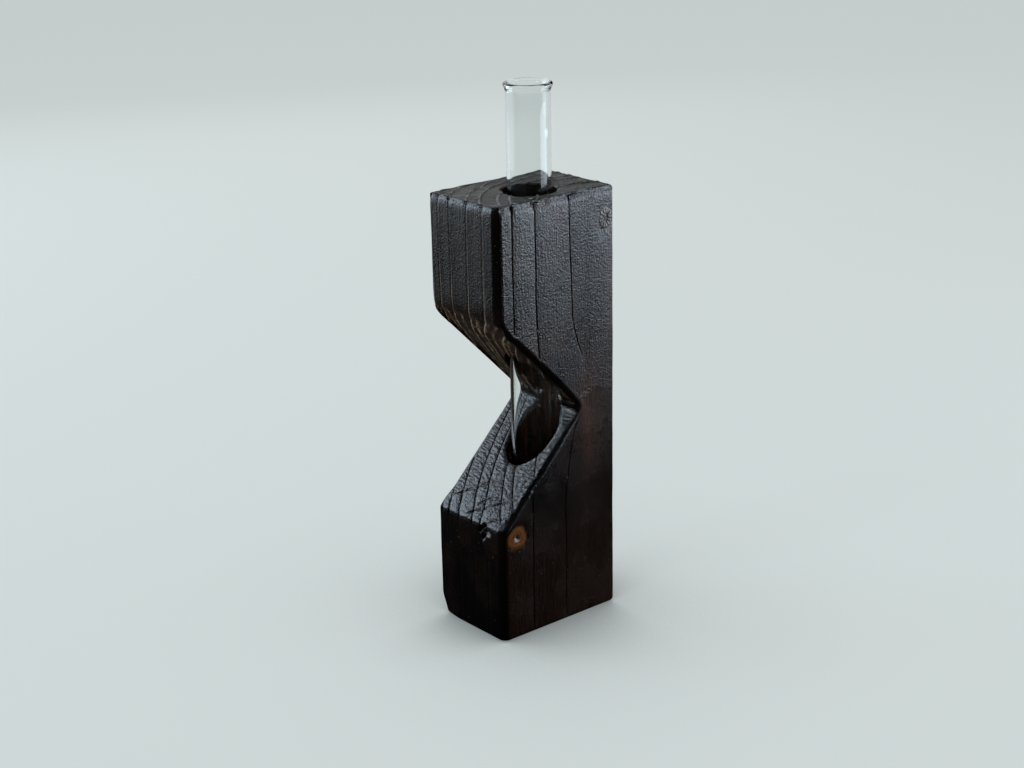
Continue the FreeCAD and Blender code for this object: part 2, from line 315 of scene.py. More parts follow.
def corner_arc(centre, reach, quarter, fullness=2.0):
    """Points on a quarter of a rounded corner, from one quarter turn to the next: the sine and cosine
    are raised to 2 / fullness, so 2 gives an ellipse and 1 a straight chamfer."""
    turn = 0.5 * math.pi * (quarter + np.linspace(0.0, 1.0, CORNER_POINTS))
    circle = np.stack([np.cos(turn), np.sin(turn)])
    across, along = np.sign(circle) * np.abs(circle) ** (2.0 / fullness)
    x = centre[:, :1] + reach[:, :1] * across
    y = centre[:, 1:2] + reach[:, 1:] * along
    return joined(x, y, centre[:, 2:])


def block_slices():
    """All slices as a grid: near face, back corner, back, far corner, far face, front corner, front or
    slant, and front near corner, counter-clockwise seen from above."""
    heights, insets = slice_heights()
    front = notch_line(heights) + insets
    back = HALF_DEPTH - insets
    side = HALF_THICK - insets
    sloping = soft_step(front, -25.0, -20.0)
    low_share = soft_step(NOTCH_MIDDLE + 3.0 - heights, 0.0, 6.0)
    lower = sloping * low_share
    upper = sloping * (1.0 - low_share)
    plain = np.maximum(1.0 - 0.4 * insets, 0.3)
    crease = bell(heights - NOTCH_MIDDLE, 5.0)
    broad = np.maximum(NEAR_ARRIS - 0.9 * crease - 0.9 * lower - insets, 0.8)
    swell = 1.0 - 0.8 * crease
    near_reach = joined(broad + (0.6 * lower + 1.1 * upper) * swell,
                        broad + (0.9 * upper - 0.3 * lower) * swell)
    far_reach = joined(plain + 2.4 * lower + 1.2 * upper, plain + 1.2 * lower + 0.6 * upper)
    even = joined(plain, plain)

    near_centre = joined(front + near_reach[:, 0], -side + near_reach[:, 1], heights)
    far_centre = joined(front + far_reach[:, 0], side - far_reach[:, 1], heights)
    back_near = joined(back - plain, -side + plain, heights)
    back_far = joined(back - plain, side - plain, heights)

    def face_run(from_x, from_y, to_x, to_y, count):
        return crowded(joined(from_x, from_y, heights), joined(to_x, to_y, heights), count)

    near = face_run(near_centre[:, 0], -side, back_near[:, 0], -side, NEAR_POINTS)
    rear = face_run(back, back_near[:, 1], back, back_far[:, 1], BACK_POINTS)
    far = face_run(back_far[:, 0], side, far_centre[:, 0], side, FAR_POINTS)
    face = face_run(front, far_centre[:, 1], front, near_centre[:, 1], FRONT_POINTS)
    corners = [corner_arc(back_near, even, 3), corner_arc(back_far, even, 0)]
    corners += [corner_arc(far_centre, far_reach, 1), corner_arc(near_centre, near_reach, 2, 1.5)]
    return np.concatenate([near, corners[0], rear, corners[1], far, corners[2], face, corners[3]], axis=1)


slices = block_slices()
print("slices and points round:", slices.shape[:2])

# %% [markdown]
# ## The two ends
#
# Each end is closed by shrinking its last slice. On the top the rows run in to the circle of the bore
# and lie closest at its mouth, where the wood is chipped. The foot stays flat, because the block stands
# on it, and needs only a few rows. Its far front corner is worn.

# %% Close the ends
def shrink_to(ring, shares, radius):
    """Rows from a ring towards a circle of that radius round the bore: each point moves along the line
    to the point of the circle at its own angle, by the shares given."""
    centre = np.array([BORE_X, BORE_Y])
    offset = ring[:, :2] - centre
    target = ring.copy()
    target[:, :2] = centre + offset / np.hypot(*offset.T)[:, None] * radius
    return ring + (target - ring) * shares[:, None, None]


top_shares = 1.0 - (1.0 - np.linspace(0.0, 1.0, 43)[1:]) ** 1.25
top_rows = shrink_to(slices[-1], top_shares, BORE_RADIUS + 0.1)
inner_rows = shrink_to(top_rows[-1], np.array([0.08, 0.2, 0.6, 1.0]), 0.0)
foot_rows = shrink_to(slices[0], np.array([1.0, 0.6, 0.25, 0.06]), 0.0)
base_grid = np.concatenate([foot_rows, slices, top_rows, inner_rows], axis=0)
worn_corner = bell(base_grid[..., 1] - HALF_THICK, 6.0) * bell(base_grid[..., 0] + HALF_DEPTH, 6.0)
worn_corner *= soft_step(10.0 - base_grid[..., 2], 0.0, 10.0)
base_grid[..., 1] -= 2.0 * worn_corner
base_grid[..., 0] += 0.8 * worn_corner
FIRST_SIDE = len(foot_rows)
FIRST_TOP = FIRST_SIDE + len(slices)
FIRST_INNER = FIRST_TOP + len(top_rows)


def grid_normals(points):
    """Outward directions on the grid: the cross product of the step round and the step up, each taken
    over two neighbours."""
    around = np.roll(points, -1, axis=1) - np.roll(points, 1, axis=1)
    up = np.gradient(points, axis=0)
    normal = np.cross(around, up)
    return normal / np.maximum(np.linalg.norm(normal, axis=-1, keepdims=True), 1e-9)


normals = grid_normals(base_grid)
normals[:FIRST_SIDE] = (0.0, 0.0, -1.0)
normals[FIRST_TOP:] = (0.0, 0.0, 1.0)
print("grid of the block:", base_grid.shape[:2], "rows and points round")

# %% [markdown]
# ## Carving the relief
#
# Charring and brushing eat the soft early wood and leave the hard late wood. So each year ring rises
# slowly outwards to a ridge and then drops at its line. All carving goes inwards from the flat faces,
# which keeps the block inside its size. Each face has its own strength: the near face is pillowed
# between dark grooves, the other upright faces have ridges, and the upper slant is carved most.

# %% Which face a point lies on
number, past, before, arc = ring_place(base_grid)
width = past + before
x, y, z = np.moveaxis(base_grid, -1, 0)
front_edge = notch_line(z)
on_top = np.zeros(x.shape)
on_top[FIRST_TOP:] = 1.0
on_top[FIRST_TOP - 5 : FIRST_TOP] = np.linspace(0.1, 0.9, 5)[:, None]
near_face = soft_step(-normals[..., 1], 0.75, 0.95)
far_face = soft_step(normals[..., 1], 0.75, 0.95)
back_face = soft_step(normals[..., 0], 0.75, 0.95)
forward = soft_step(-normals[..., 0], 0.6, 0.68) * (1.0 - on_top)
in_notch = (front_edge > -HALF_DEPTH + 0.2) * (x < front_edge + 4.0)
slanted = soft_step(np.abs(normals[..., 2]), 0.3, 0.6) * in_notch
upper_slant = forward * slanted * (z > NOTCH_MIDDLE)
lower_slant = forward * slanted * (z <= NOTCH_MIDDLE)
narrow_face = forward * (1.0 - slanted)
print("share of points on the lower slant:", round(float(lower_slant.mean()), 3))

# %% Ridges and grooves of the rings
ring_share = np.clip(past / width, 0.0, 1.0)
pillow = 1.0 - np.abs(2.0 * ring_share - 1.0) ** 3.0


def ridge(power, drop):
    """Height of a sawtooth ring from 0 to 1: the share of the way across the ring to a power, brought
    back to 0 over a short drop just before the outer line."""
    return ring_share**power * soft_step(before, 0.0, drop)


line_gap = np.minimum(past, before)
sideways = np.abs(x - np.interp(z, PITH_HEIGHTS, PITH_X)) / wood_place(base_grid)[0]
face_gap = line_gap / np.clip(sideways, 0.2, 1.0)
combing = lumps(joined(number * 9.0, arc * 0.10, z * 0.06), 1.2, 11)
low_part = soft_step(92.0 - z, 0.0, 8.0)
quiet_right = 1.0 - soft_step(x + 4.5 * low_part, 13.0, 17.0) * near_face
quiet_left = 1.0 - soft_step(-x + 4.0 * low_part, 21.5, 23.0) * near_face
quiet_arch = 1.0 - soft_step(x, 6.0, 9.0) * soft_step(112.0 - z, 0.0, 14.0) * (z > 80.0)
groove_near = bell(face_gap, 0.13) * quiet_right * quiet_left * quiet_arch
rough = lumps(base_grid, 2.2, 21)
carved = near_face * (0.26 * (1.0 - pillow) * quiet_right * quiet_left + 0.42 * groove_near)
carved += (far_face + back_face) * (0.28 * (1.0 - ridge(3.0, 0.4)) + 0.30 * bell(line_gap, 0.25))
carved += narrow_face * (0.28 * (1.0 - ridge(4.0, 0.35)) + 0.12 * bell(line_gap, 0.3))
between = bell(past - 0.48 * width + 0.6 * combing, 0.20)
carved += upper_slant * (0.95 * (1.0 - ridge(2.0, 0.45)) + 0.30 * (0.5 - 0.5 * combing))
carved += upper_slant * (0.20 * (1.0 - between) + 0.50 * soft_step(y, 9.0, 17.0) * (0.5 + 0.5 * combing))
carved += lower_slant * (0.12 * (1.0 - pillow) + 0.26 * bell(line_gap, 0.16))
raised_line = bell(before - 0.40, 0.28)
ragged = lumps(joined(number * 9.0, arc * 0.9, z), 1.3, 22)
carved += on_top * (0.46 * (1.0 - raised_line) + 0.22 * (0.5 + 0.5 * rough) + 0.30 * (0.5 + 0.5 * ragged))
print("ring relief up to", round(float(carved.max()), 2), "mm")

# %% [markdown]
# ## Scalloped ends, worn edges, cracks and knots
#
# Where a groove reaches an end it opens out, so the edge becomes a row of small lobes. The slant below
# the bore has short cracks across the grain, the mouth of the bore is chipped, and there are three
# knots: a pale one and a torn one at the lower edge of the notch, and a small one high on the near face.

# %% Scallops, chips and worn corners
top_ease = soft_step(z, TALL - 5.0, TALL) ** 2 * (1.0 - on_top)
carved += top_ease * (near_face + narrow_face) * 0.75
carved += bell(TALL - z, 3.2) * (near_face + narrow_face) * bell(line_gap, 0.8) * quiet_right * 0.45
carved += bell(z - 43.0, 1.3) * forward * bell(line_gap, 0.5) * 0.30
carved += bell(z - 119.5, 3.0) * forward * bell(line_gap, 1.1) * 0.45
chip_spot = np.hypot((x + 7.5) / 4.0, (z - 162.3) / 2.6) + 0.25 * rough
chip = soft_step(1.25 - chip_spot, 0.0, 0.6) * (y < -14.0) * (z > 155.0)
carved += chip * 0.4
wall_gap = np.hypot(x - BORE_X, y - BORE_Y) - BORE_RADIUS
mouth_left = bell(np.hypot(x + 8.6, y + 7.0), 5.0)
round_over = 0.8 + on_top * (1.5 * mouth_left + 0.3 * rough) + 0.3 * lower_slant
inside = np.clip(round_over - wall_gap, 0.0, round_over)
mouth_drop = round_over - np.sqrt(np.maximum(round_over**2 - inside**2, 0.0))
mouth_drop *= on_top + upper_slant + lower_slant
print("bore mouth rounded by up to", round(float(mouth_drop.max()), 2), "mm")

# %% Cracks across the lower slant, as places given by y and z
CRACKS = {
    "long_high": ((14.6, 48.2), (11.3, 49.9), (5.5, 52.5), (2.0, 54.6)),
    "long_low": ((3.0, 45.2), (1.3, 46.0), (-2.7, 47.6), (-8.1, 50.4), (-13.0, 52.5)),
    "short": ((0.4, 48.6), (-0.9, 49.6), (-4.3, 51.7)),
    "edge": ((-7.1, 42.8), (-11.0, 46.2), (-16.4, 48.4)),
}
SLOPE_LENGTH = math.sqrt(2.0)


def crack_gap(path):
    """Distance on the slant to a path of straight runs. The slope is longer than its height by the
    root of two."""
    gap = np.full(y.shape, 1e3)
    for (start_y, start_z), (end_y, end_z) in zip(path[:-1], path[1:]):
        run_y = end_y - start_y
        run_z = (end_z - start_z) * SLOPE_LENGTH
        from_y = y - start_y
        from_z = (z - start_z) * SLOPE_LENGTH
        share = np.clip((from_y * run_y + from_z * run_z) / (run_y**2 + run_z**2), 0.0, 1.0)
        gap = np.minimum(gap, np.hypot(from_y - share * run_y, from_z - share * run_z))
    return gap


crack = np.zeros(y.shape)
lips = np.zeros(y.shape)
for path in CRACKS.values():
    gap = crack_gap(path)
    crack = np.maximum(crack, bell(gap + 0.25 * lumps(base_grid, 2.0, 31), 0.30))
    lips = np.maximum(lips, bell(gap - 0.9, 0.5))
crack *= lower_slant
carved += 0.36 * crack - 0.26 * lips * lower_slant
print("cracks carved:", len(CRACKS))

# %% Knots, each as its middle and its reach, along a face and upwards
PALE_KNOT = ((-20.2, 40.2), (4.4, 4.0))
HIGH_KNOT = ((23.7, 151.6), (2.9, 3.4))
HIGH_KNOT_RAYS = 13.0
PIT = ((24.6, 151.3), (1.0, 1.3))
DENT = ((21.8, 147.2), (1.6, 1.2))
TORN_KNOT = ((-7.6, 41.4), (3.6, 3.0))


def knot_place(knot, along_face):
    """How far out in a knot each point lies, 1 at its edge, and the angle round it."""
    middle, reach = knot
    across = (along_face - middle[0]) / reach[0]
    upwards = (z - middle[1]) / reach[1]
    return np.hypot(across, upwards), np.arctan2(upwards, across)


pale_out, pale_turn = knot_place(PALE_KNOT, x)
pale_out = pale_out + 0.08 * np.sin(3.0 * pale_turn + 0.7) + 0.06 * rough
pale_knot = near_face * soft_step(1.12 - pale_out, 0.0, 0.16)
pale_rings = 0.5 - 0.5 * np.cos(pale_out * 17.0)
carved *= 1.0 - 0.85 * pale_knot
carved += pale_knot * (0.10 + 0.07 * pale_rings) + near_face * 0.30 * bell(pale_out - 1.1, 0.10)
carved += near_face * 0.9 * soft_step(0.34 - pale_out, 0.0, 0.2)

carved += near_face * 0.26 * bell(knot_place(HIGH_KNOT, x)[0] - 1.15, 0.25)
pit = near_face * soft_step(1.2 - knot_place(PIT, x)[0], 0.0, 0.8)
carved += 0.9 * pit
carved += near_face * 0.35 * bell(knot_place(DENT, x)[0], 1.0)

torn_out, torn_turn = knot_place(TORN_KNOT, y)
torn_edge = 1.0 + 0.22 * np.sin(4.0 * torn_turn + 1.0) + 0.25 * lumps(base_grid, 1.1, 41)
torn_knot = forward * (x < -22.0) * soft_step(torn_edge - torn_out, 0.0, 0.35)
splinters = 0.5 + 0.5 * lumps(base_grid * (1.0, 1.0, 0.6), 0.7, 42)
carved += torn_knot * (0.35 + 1.3 * splinters)
print("deepest carving:", round(float(carved.max()), 2), "mm")

# %% [markdown]
# ## Putting the carved block together
#
# The arrises along the uprights were rubbed smooth, so the ring relief fades there and stays strong at
# the ends. A slow unevenness is added last, as no charred face stays flat. The grid then becomes a
# mesh with four UV maps: two carry the wood's own place, as ring number and height, arc and how deep
# it is carved, which paints shade into the hollows, and two carry its marks, as brown and soot with
# painted shade, pale knots and worn crests with painted highlights. A UV map is blended along a cut,
# so the pattern survives the boring of the hole.

# %% Carve
slow = 0.5 + 0.5 * lumps(base_grid, 17.0, 51)
fine = 0.5 + 0.5 * lumps(base_grid, 5.0, 52)
carved += 0.16 * slow + 0.08 * fine
carved = np.maximum(carved + mouth_drop, 0.0) * soft_step(z, 0.0, 2.5)
carved[FIRST_INNER:] = carved[FIRST_INNER - 1]
carved_grid = base_grid - normals * carved[..., None]
print("carved on average by", round(float(carved.mean()), 2), "mm")

# %% Marks of soot and painted shade, brown, pale wood, and worn crests with painted highlights
def patch(middle_x, middle_z, reach_x, reach_z):
    """A soft oval patch on the near face, 1 at its middle."""
    return near_face * bell(np.hypot((x - middle_x) / reach_x, (z - middle_z) / reach_z), 1.0)


arris_band = 1.0 - np.clip(near_face + far_face + back_face + forward + on_top, 0.0, 1.0)
# Soot and painted shade: the torn knot is dark, while the cracks, the pit, the heart of the pale knot and
# the groove round it get painted shade. So does a dark band on the arrises of the near side, short of the
# back.
soot_and_shade = np.clip(0.6 * crack + torn_knot + 0.8 * soft_step(0.4 - pale_out, 0.0, 0.25) * near_face, 0.0, 1.0)
soot_and_shade = np.maximum(np.maximum(soot_and_shade, pit), 0.75 * near_face * bell(pale_out - 1.12, 0.12))
soot_and_shade = np.maximum(soot_and_shade, 0.85 * arris_band * (y < 0.0) * (x < 20.0))

# Worn crests and painted highlights: the ring ridges on the narrow face above the notch, on the top end and
# on the underside of the notch are lighter, partly as worn wood and partly as a painted highlight on the
# ridges.
crest_band = soft_step(148.0 - z, 0.0, 28.0) * (z > NOTCH_MIDDLE)
combed_crest_and_highlight = 1.6 * bell(before - 0.42, 0.22) + 1.1 * between + 0.15 * soft_step(combing, 0.3, 0.7)
crest_and_highlight = 0.5 * narrow_face * bell(before - 0.38, 0.2) * crest_band + 0.75 * on_top * raised_line
crest_and_highlight = np.clip(crest_and_highlight + upper_slant * combed_crest_and_highlight, 0.0, 1.0)

brown = patch(14.0, 78.0, 3.2, 17.0) + 0.8 * patch(-13.0, 110.0, 5.0, 11.0)
brown += 0.75 * patch(18.0, 84.0, 12.0, 26.0)
brown += 1.1 * chip + 0.35 * near_face * soft_step(62.0 - z, 0.0, 40.0) + 0.12 * upper_slant
high_up = near_face * soft_step(z, 96.0, 112.0)
brown += 0.6 * high_up * soft_step(lumps(base_grid * (1.0, 1.0, 0.35), 6.0, 71), 0.0, 0.8)
brown = np.clip(brown + 0.5 * high_up * soft_step(x, 21.0, 26.0), 0.0, 1.0)

warm_streak = patch(14.0 - 0.13 * (z - 78.0), 77.0, 1.3, 13.0)
pale = pale_knot * (1.0 - 0.45 * pale_rings) + 0.16 * warm_streak + 0.2 * chip
print("share of points with soot:", round(float((soot_and_shade > 0.5).mean()), 3))

# %% Mesh and UV maps
def wood_maps(grid, shade_depth, brown, soot_and_shade, pale, crest_and_highlight):
    """The four UV maps of a closed grid, in the order of its points."""
    number, arc = ring_place(grid)[0::3]
    pairs = {"grain": (number / 10.0, grid[..., 2] / 100.0), "round": (arc / 100.0, shade_depth),
             "marks": (brown, soot_and_shade), "knots": (pale, crest_and_highlight)}
    return {key: pole_rows(joined(*pair)) for key, pair in pairs.items()}


# How deep each point is carved, less on the upper slant; the wood reads it to paint shade into its hollows
shade_depth = carved * (1.0 - 0.7 * upper_slant)
block = closed_object("charred_block", carved_grid, wood_maps(base_grid, shade_depth, brown, soot_and_shade, pale, crest_and_highlight))
print("block before boring:", len(block.data.vertices), "points,", len(block.data.polygons), "faces")

# %% [markdown]
# ## Boring the hole
#
# The bore crosses the notch, so its edge is a closed curve on the top and a long one over both slants.
# Working those curves out would be hard, and a Boolean modifier finds them. The drill is a long lathe
# shape with a slightly uneven wall and the same UV maps, so the wood's grain shows inside the hole
# too. The cut is applied at once, and the drill is thrown away.

# %% Make the drill and bore
DRILL_TOP = TALL + 6.0


def turned(radius, height, columns):
    """Points swept round the bore's middle line: radius times cosine and sine, height kept. Radius and
    height are columns of one value, or of one value for each column of points."""
    turn = full_turn(columns)
    return joined(BORE_X + radius * np.cos(turn), BORE_Y + radius * np.sin(turn), height)


def drill_grid(rows=70, columns=120):
    """A closed round bar: straight wall from the bore's floor to above the top, with poles at both
    ends. Its radius is the bore's plus a small unevenness stretched along the bore."""
    turn = full_turn(columns)
    wall = np.linspace(BORE_FLOOR, DRILL_TOP, rows)
    height = np.concatenate([[BORE_FLOOR, BORE_FLOOR], wall, [DRILL_TOP]])[:, None]
    scale = np.concatenate([[0.0, 0.6], np.ones(rows), [0.0]])[:, None]
    uneven = lumps(joined(np.cos(turn), np.sin(turn), height) * (9.0, 9.0, 0.12), 2.4, 61)
    return turned((BORE_RADIUS + 0.10 * uneven) * scale, height, columns)


def bore_hole():
    """Cuts the drill out of the block with a Boolean and keeps the result as the block's own mesh."""
    grid = drill_grid()
    blank = np.zeros(grid.shape[:2])
    stretched = grid * (1.0, 1.0, 0.04)
    deep = 1.0 - 0.85 * soft_step(grid[..., 2], 112.0, 140.0)
    brown = deep * (0.5 + 0.5 * lumps(stretched, 1.6, 62))
    pale = deep * 0.35 * soft_step(lumps(stretched, 1.3, 63), 0.3, 0.8)
    drill = closed_object("drill", grid, wood_maps(grid, blank + 0.5, brown, blank, pale, blank))
    cut = block.modifiers.new("bore", "BOOLEAN")
    cut.operation = "DIFFERENCE"
    cut.solver = "MANIFOLD"
    cut.object = drill
    bpy.context.view_layer.update()
    evaluated = block.evaluated_get(bpy.context.evaluated_depsgraph_get())
    bored = bpy.data.meshes.new_from_object(evaluated)
    block.modifiers.remove(cut)
    block.data = bored
    bpy.data.objects.remove(drill)
    bored.name = "charred_block"
    return bored


bored = bore_hole()
bored.shade_smooth()
bored.set_sharp_from_angle(angle=math.radians(50.0))
triangles = sum(len(face.vertices) - 2 for face in bored.polygons)
print("block after boring:", triangles, "triangles, maps", [u.name for u in bored.uv_layers])

# %% [markdown]
# ## The test tube
#
# A test tube is turned, not built up: one profile of its wall, swept once round. The profile runs from
# the middle of the round bottom up the outside, over the thick bead of the rim and back down the
# inside, so the glass has a true thickness and light bends in it as in the real one.

# %% Turn the tube
TUBE_RADIUS = 8.0
TUBE_WALL = 1.1
TUBE_FOOT = 41.3
TUBE_TOP = 201.295
BEAD_RADIUS = 0.95
BEAD_REACH = 0.8
NECK_DROP = 3.2
THROAT_DROP = 2.6


def tube_profile():
    """Radius and height of the wall: a quarter circle outside the bottom, the straight outside, a neck
    that swells to a rounded bead, the straight inside and a quarter circle inside."""
    turn = np.linspace(0.0, 0.5 * math.pi, 17)
    inner = TUBE_RADIUS - TUBE_WALL
    low = TUBE_FOOT + TUBE_RADIUS
    outer_bottom = joined(TUBE_RADIUS * np.sin(turn), low - TUBE_RADIUS * np.cos(turn))
    outer_bottom[0, 0] = 0.0
    bead_middle = np.array([TUBE_RADIUS + BEAD_REACH - BEAD_RADIUS, TUBE_TOP - BEAD_RADIUS])
    outside = joined(TUBE_RADIUS, np.linspace(low, TUBE_TOP - NECK_DROP, 12)[1:])
    swell = np.linspace(0.0, 1.0, 5)[1:-1]
    neck_start = np.array([TUBE_RADIUS, TUBE_TOP - NECK_DROP])
    around = np.linspace(math.radians(-50.0), math.radians(165.0), 15)
    bead = bead_middle + BEAD_RADIUS * joined(np.cos(around), np.sin(around))
    neck = neck_start + (bead[0] - neck_start) * joined(soft_step(swell, 0.0, 1.0), swell)
    throat = np.array([[inner + 0.12, TUBE_TOP - 1.6], [inner, TUBE_TOP - THROAT_DROP]])
    inside = joined(inner, np.linspace(TUBE_TOP - THROAT_DROP, low, 12)[1:-1])
    inner_bottom = joined(inner * np.cos(turn), low - inner * np.sin(turn))
    inner_bottom[-1, 0] = 0.0
    return np.vstack([outer_bottom, outside, neck, bead, throat, inside, inner_bottom])


profile = tube_profile()
tube = closed_object("glass_tube", turned(profile[:, :1], profile[:, 1:], 128))
tube.data.shade_smooth()
print("tube:", len(tube.data.polygons), "faces, top at", round(float(profile[:, 1].max()), 1), "mm")

# %% [markdown]
# ## Materials: shared groups
#
# Both materials need dust-fine unevenness, and the wood needs its grain in several places. Node groups
# hold these effects once, with named inputs and outputs. Each group only puts out masks and values
# that vary over the surface; the shader and its plain numbers stay in each material.

# %% Helpers for node trees
def feed(tree, socket, value):
    """Links the value if it is a socket, or else writes it on the socket."""
    if isinstance(value, bpy.types.NodeSocket):
        tree.links.new(value, socket)
    else:
        socket.default_value = value


def add_node(tree, kind, values, **settings):
    """A node with its settings, and with its inputs filled by name or by place; gives its outputs."""
    node = tree.nodes.new("ShaderNode" + kind)
    for label, value in settings.items():
        setattr(node, label, value)
    for place, value in values.items():
        feed(tree, node.inputs[place], value)
    return node.outputs


def math_node(tree, operation, *values):
    """The result of one Math node."""
    return add_node(tree, "Math", dict(enumerate(values)), operation=operation)[0]


def times(tree, first, second):
    """The product of two values."""
    return math_node(tree, "MULTIPLY", first, second)


def plus(tree, first, second):
    """The sum of two values."""
    return math_node(tree, "ADD", first, second)


def length(tree, first, second):
    """The root of the sum of two squares."""
    squares = [math_node(tree, "POWER", part, 2.0) for part in (first, second)]
    return math_node(tree, "SQRT", plus(tree, *squares))


def noise(tree, vector, scale, detail=2.0, roughness=0.5):
    """The value from 0 to 1 of one Noise Texture on a vector."""
    values = {"Vector": vector, "Scale": scale, "Detail": detail, "Roughness": roughness}
    return add_node(tree, "TexNoise", values)[0]


def remap(tree, value, low, high, to_low=0.0, to_high=1.0):
    """The result of one smooth Map Range node with clamped ends."""
    values = {"Value": value, "From Min": low, "From Max": high, "To Min": to_low, "To Max": to_high}
    return add_node(tree, "MapRange", values, interpolation_type="SMOOTHSTEP")[0]


def mix_colour(tree, share, first, second):
    """The colour of one Mix node, whose colour sockets are known by their places."""
    return add_node(tree, "Mix", {0: share, 6: first, 7: second}, data_type="RGBA")[2]


def split(tree, vector):
    """The three parts of a vector."""
    return add_node(tree, "SeparateXYZ", {0: vector})


def join(tree, *parts):
    """A vector from three parts."""
    return add_node(tree, "CombineXYZ", dict(enumerate(parts)))[0]


def bump_normal(tree, height, strength, distance):
    """The normal that one Bump node makes from a height."""
    return add_node(tree, "Bump", {"Height": height, "Strength": strength, "Distance": distance})[0]


def object_place(tree):
    """The place on the object, as a vector in m."""
    return add_node(tree, "TexCoord", {})["Object"]


print("node helpers ready")

# %% Group: the wood's place
def new_group(name, inputs, outputs):
    """A shader node group. An input is a vector if it has no value, or else a number."""
    group = bpy.data.node_groups.new(name, "ShaderNodeTree")
    for label, value in inputs.items():
        kind = "NodeSocketVector" if value is None else "NodeSocketFloat"
        socket = group.interface.new_socket(label, in_out="INPUT", socket_type=kind)
        if value is not None:
            socket.default_value = value
    for label, kind in outputs.items():
        group.interface.new_socket(label, in_out="OUTPUT", socket_type="NodeSocket" + kind)
    return group, group.nodes.new("NodeGroupInput").outputs, group.nodes.new("NodeGroupOutput").inputs


def make_wood_place():
    """Turns the UV maps back into numbers: the share across the ring, and two vectors whose parts run
    across the rings, round the rings and along the grain. The first is drawn out along the grain, and
    the second across it."""
    outputs = {"Share": "Float", "Along": "Vector", "Across": "Vector"}
    group, given, result = new_group("wood_place", {"Grain": None, "Round": None}, outputs)
    grain = split(group, given["Grain"])
    ring = times(group, grain[0], 10.0)
    radial = times(group, ring, 8.0)
    height = times(group, grain[1], 100.0)
    turn = times(group, split(group, given["Round"])[0], 100.0)
    feed(group, result["Share"], math_node(group, "FRACT", ring))
    feed(group, result["Along"], join(group, radial, turn, times(group, height, 0.12)))
    feed(group, result["Across"], join(group, times(group, radial, 0.20), times(group, turn, 0.55), height))
    return group


# %% Groups: a small rayed knot and fine unevenness
def make_rayed_knot():
    """Rays round the middle of a small knot, 0.6 + 0.4 cos(rays times the angle), from a vector whose
    parts are shares of the knot's reach; Ring is 1 between its heart and its edge."""
    outputs = {"Ring": "Float", "Ray": "Float"}
    group, given, result = new_group("rayed_knot", {"Place": None, "Rays": 11.0}, outputs)
    parts = split(group, given["Place"])
    out = length(group, parts[0], parts[2])
    turn = math_node(group, "ARCTAN2", parts[2], parts[0])
    wave = math_node(group, "COSINE", times(group, turn, given["Rays"]))
    edge = remap(group, out, 1.15, 0.9)
    heart = remap(group, out, 0.35, 0.6)
    feed(group, result["Ring"], times(group, edge, heart))
    feed(group, result["Ray"], math_node(group, "MULTIPLY_ADD", wave, 0.4, 0.6))
    return group


def make_fine_skin():
    """Two sizes of noise on a vector: a coarse one for patches and a fine one for the skin."""
    inputs = {"Vector": None, "Patch Scale": 60.0, "Skin Scale": 900.0}
    group, given, result = new_group("fine_skin", inputs, {"Patch": "Float", "Skin": "Float"})
    patches = noise(group, given["Vector"], given["Patch Scale"], 3.0)
    feed(group, result["Patch"], remap(group, patches, 0.3, 0.7))
    feed(group, result["Skin"], noise(group, given["Vector"], given["Skin Scale"], 1.5, 0.6))
    return group


wood_place_group = make_wood_place()
rayed_knot_group = make_rayed_knot()
fine_skin_group = make_fine_skin()
print("groups:", [group.name for group in bpy.data.node_groups])

# %% [markdown]
# ## Charred and lacquered softwood
#
# Charred wood is nearly black, with a warm brown where the char was brushed off, and a satin lacquer
# gives it a soft shine. Fine streaks run along the grain on the sides; on the ends and slants the same
# streaks are cut across and show as ticks.

# %% Build the wood
CHAR = (0.0060, 0.0050, 0.0048, 1.0)
WARM_CHAR = (0.0150, 0.0085, 0.0068, 1.0)
END_CHAR = (0.013, 0.0135, 0.0105, 1.0)
LATE_WOOD = (0.020, 0.014, 0.012, 1.0)
RUBBED_WOOD = (0.085, 0.033, 0.016, 1.0)
# worn wood, and a painted highlight on the ring crests
WORN_CREST_AND_HIGHLIGHT = (0.55, 0.47, 0.37, 1.0)
SPECK = (0.24, 0.20, 0.175, 1.0)
KNOT_RAY = (0.55, 0.47, 0.40, 1.0)
PALE_WOOD = (0.38, 0.140, 0.036, 1.0)
# soot, and painted shade in the hollows and on the near-side arrises
SOOT_AND_SHADE = (0.0025, 0.0022, 0.0022, 1.0)
# painted shade, mixed in where the carving is deep
PAINTED_RECESS_SHADE = (0.003, 0.0026, 0.0025, 1.0)


def new_material(name, values):
    """A material, its node tree and the input sockets of its shader, with the fixed values set."""
    material = bpy.data.materials.new(name)
    material.use_nodes = True
    shader = material.node_tree.nodes["Principled BSDF"]
    for label, value in values.items():
        shader.inputs[label].default_value = value
    return material, material.node_tree, shader.inputs


def fine_skin(tree, patch_scale, skin_scale):
    """The two noises of the fine_skin group at the place on the object."""
    values = {"Vector": object_place(tree), "Patch Scale": patch_scale, "Skin Scale": skin_scale}
    return add_node(tree, "Group", values, node_tree=fine_skin_group)


def uv_map(tree, name):
    """The UV map of that name as a vector."""
    return add_node(tree, "UVMap", {}, uv_map=name)[0]


def high_knot_rays(tree, spot):
    """The rays of the small knot, up to 1 on a ray and 0 away from the knot and off the near face."""
    (middle_x, middle_z), (reach_x, reach_z) = HIGH_KNOT
    shares = add_node(tree, "Mapping", {
        "Vector": object_place(tree),
        "Location": (-middle_x / reach_x, 0.0, -middle_z / reach_z),
        "Scale": (1.0 / (MM * reach_x), 1.0, 1.0 / (MM * reach_z)),
    })[0]
    knot = add_node(tree, "Group", {"Place": shares, "Rays": HIGH_KNOT_RAYS}, node_tree=rayed_knot_group)
    on_near = remap(tree, spot[1], -0.0165, -0.0175)
    return times(tree, times(tree, knot["Ring"], on_near), knot["Ray"])


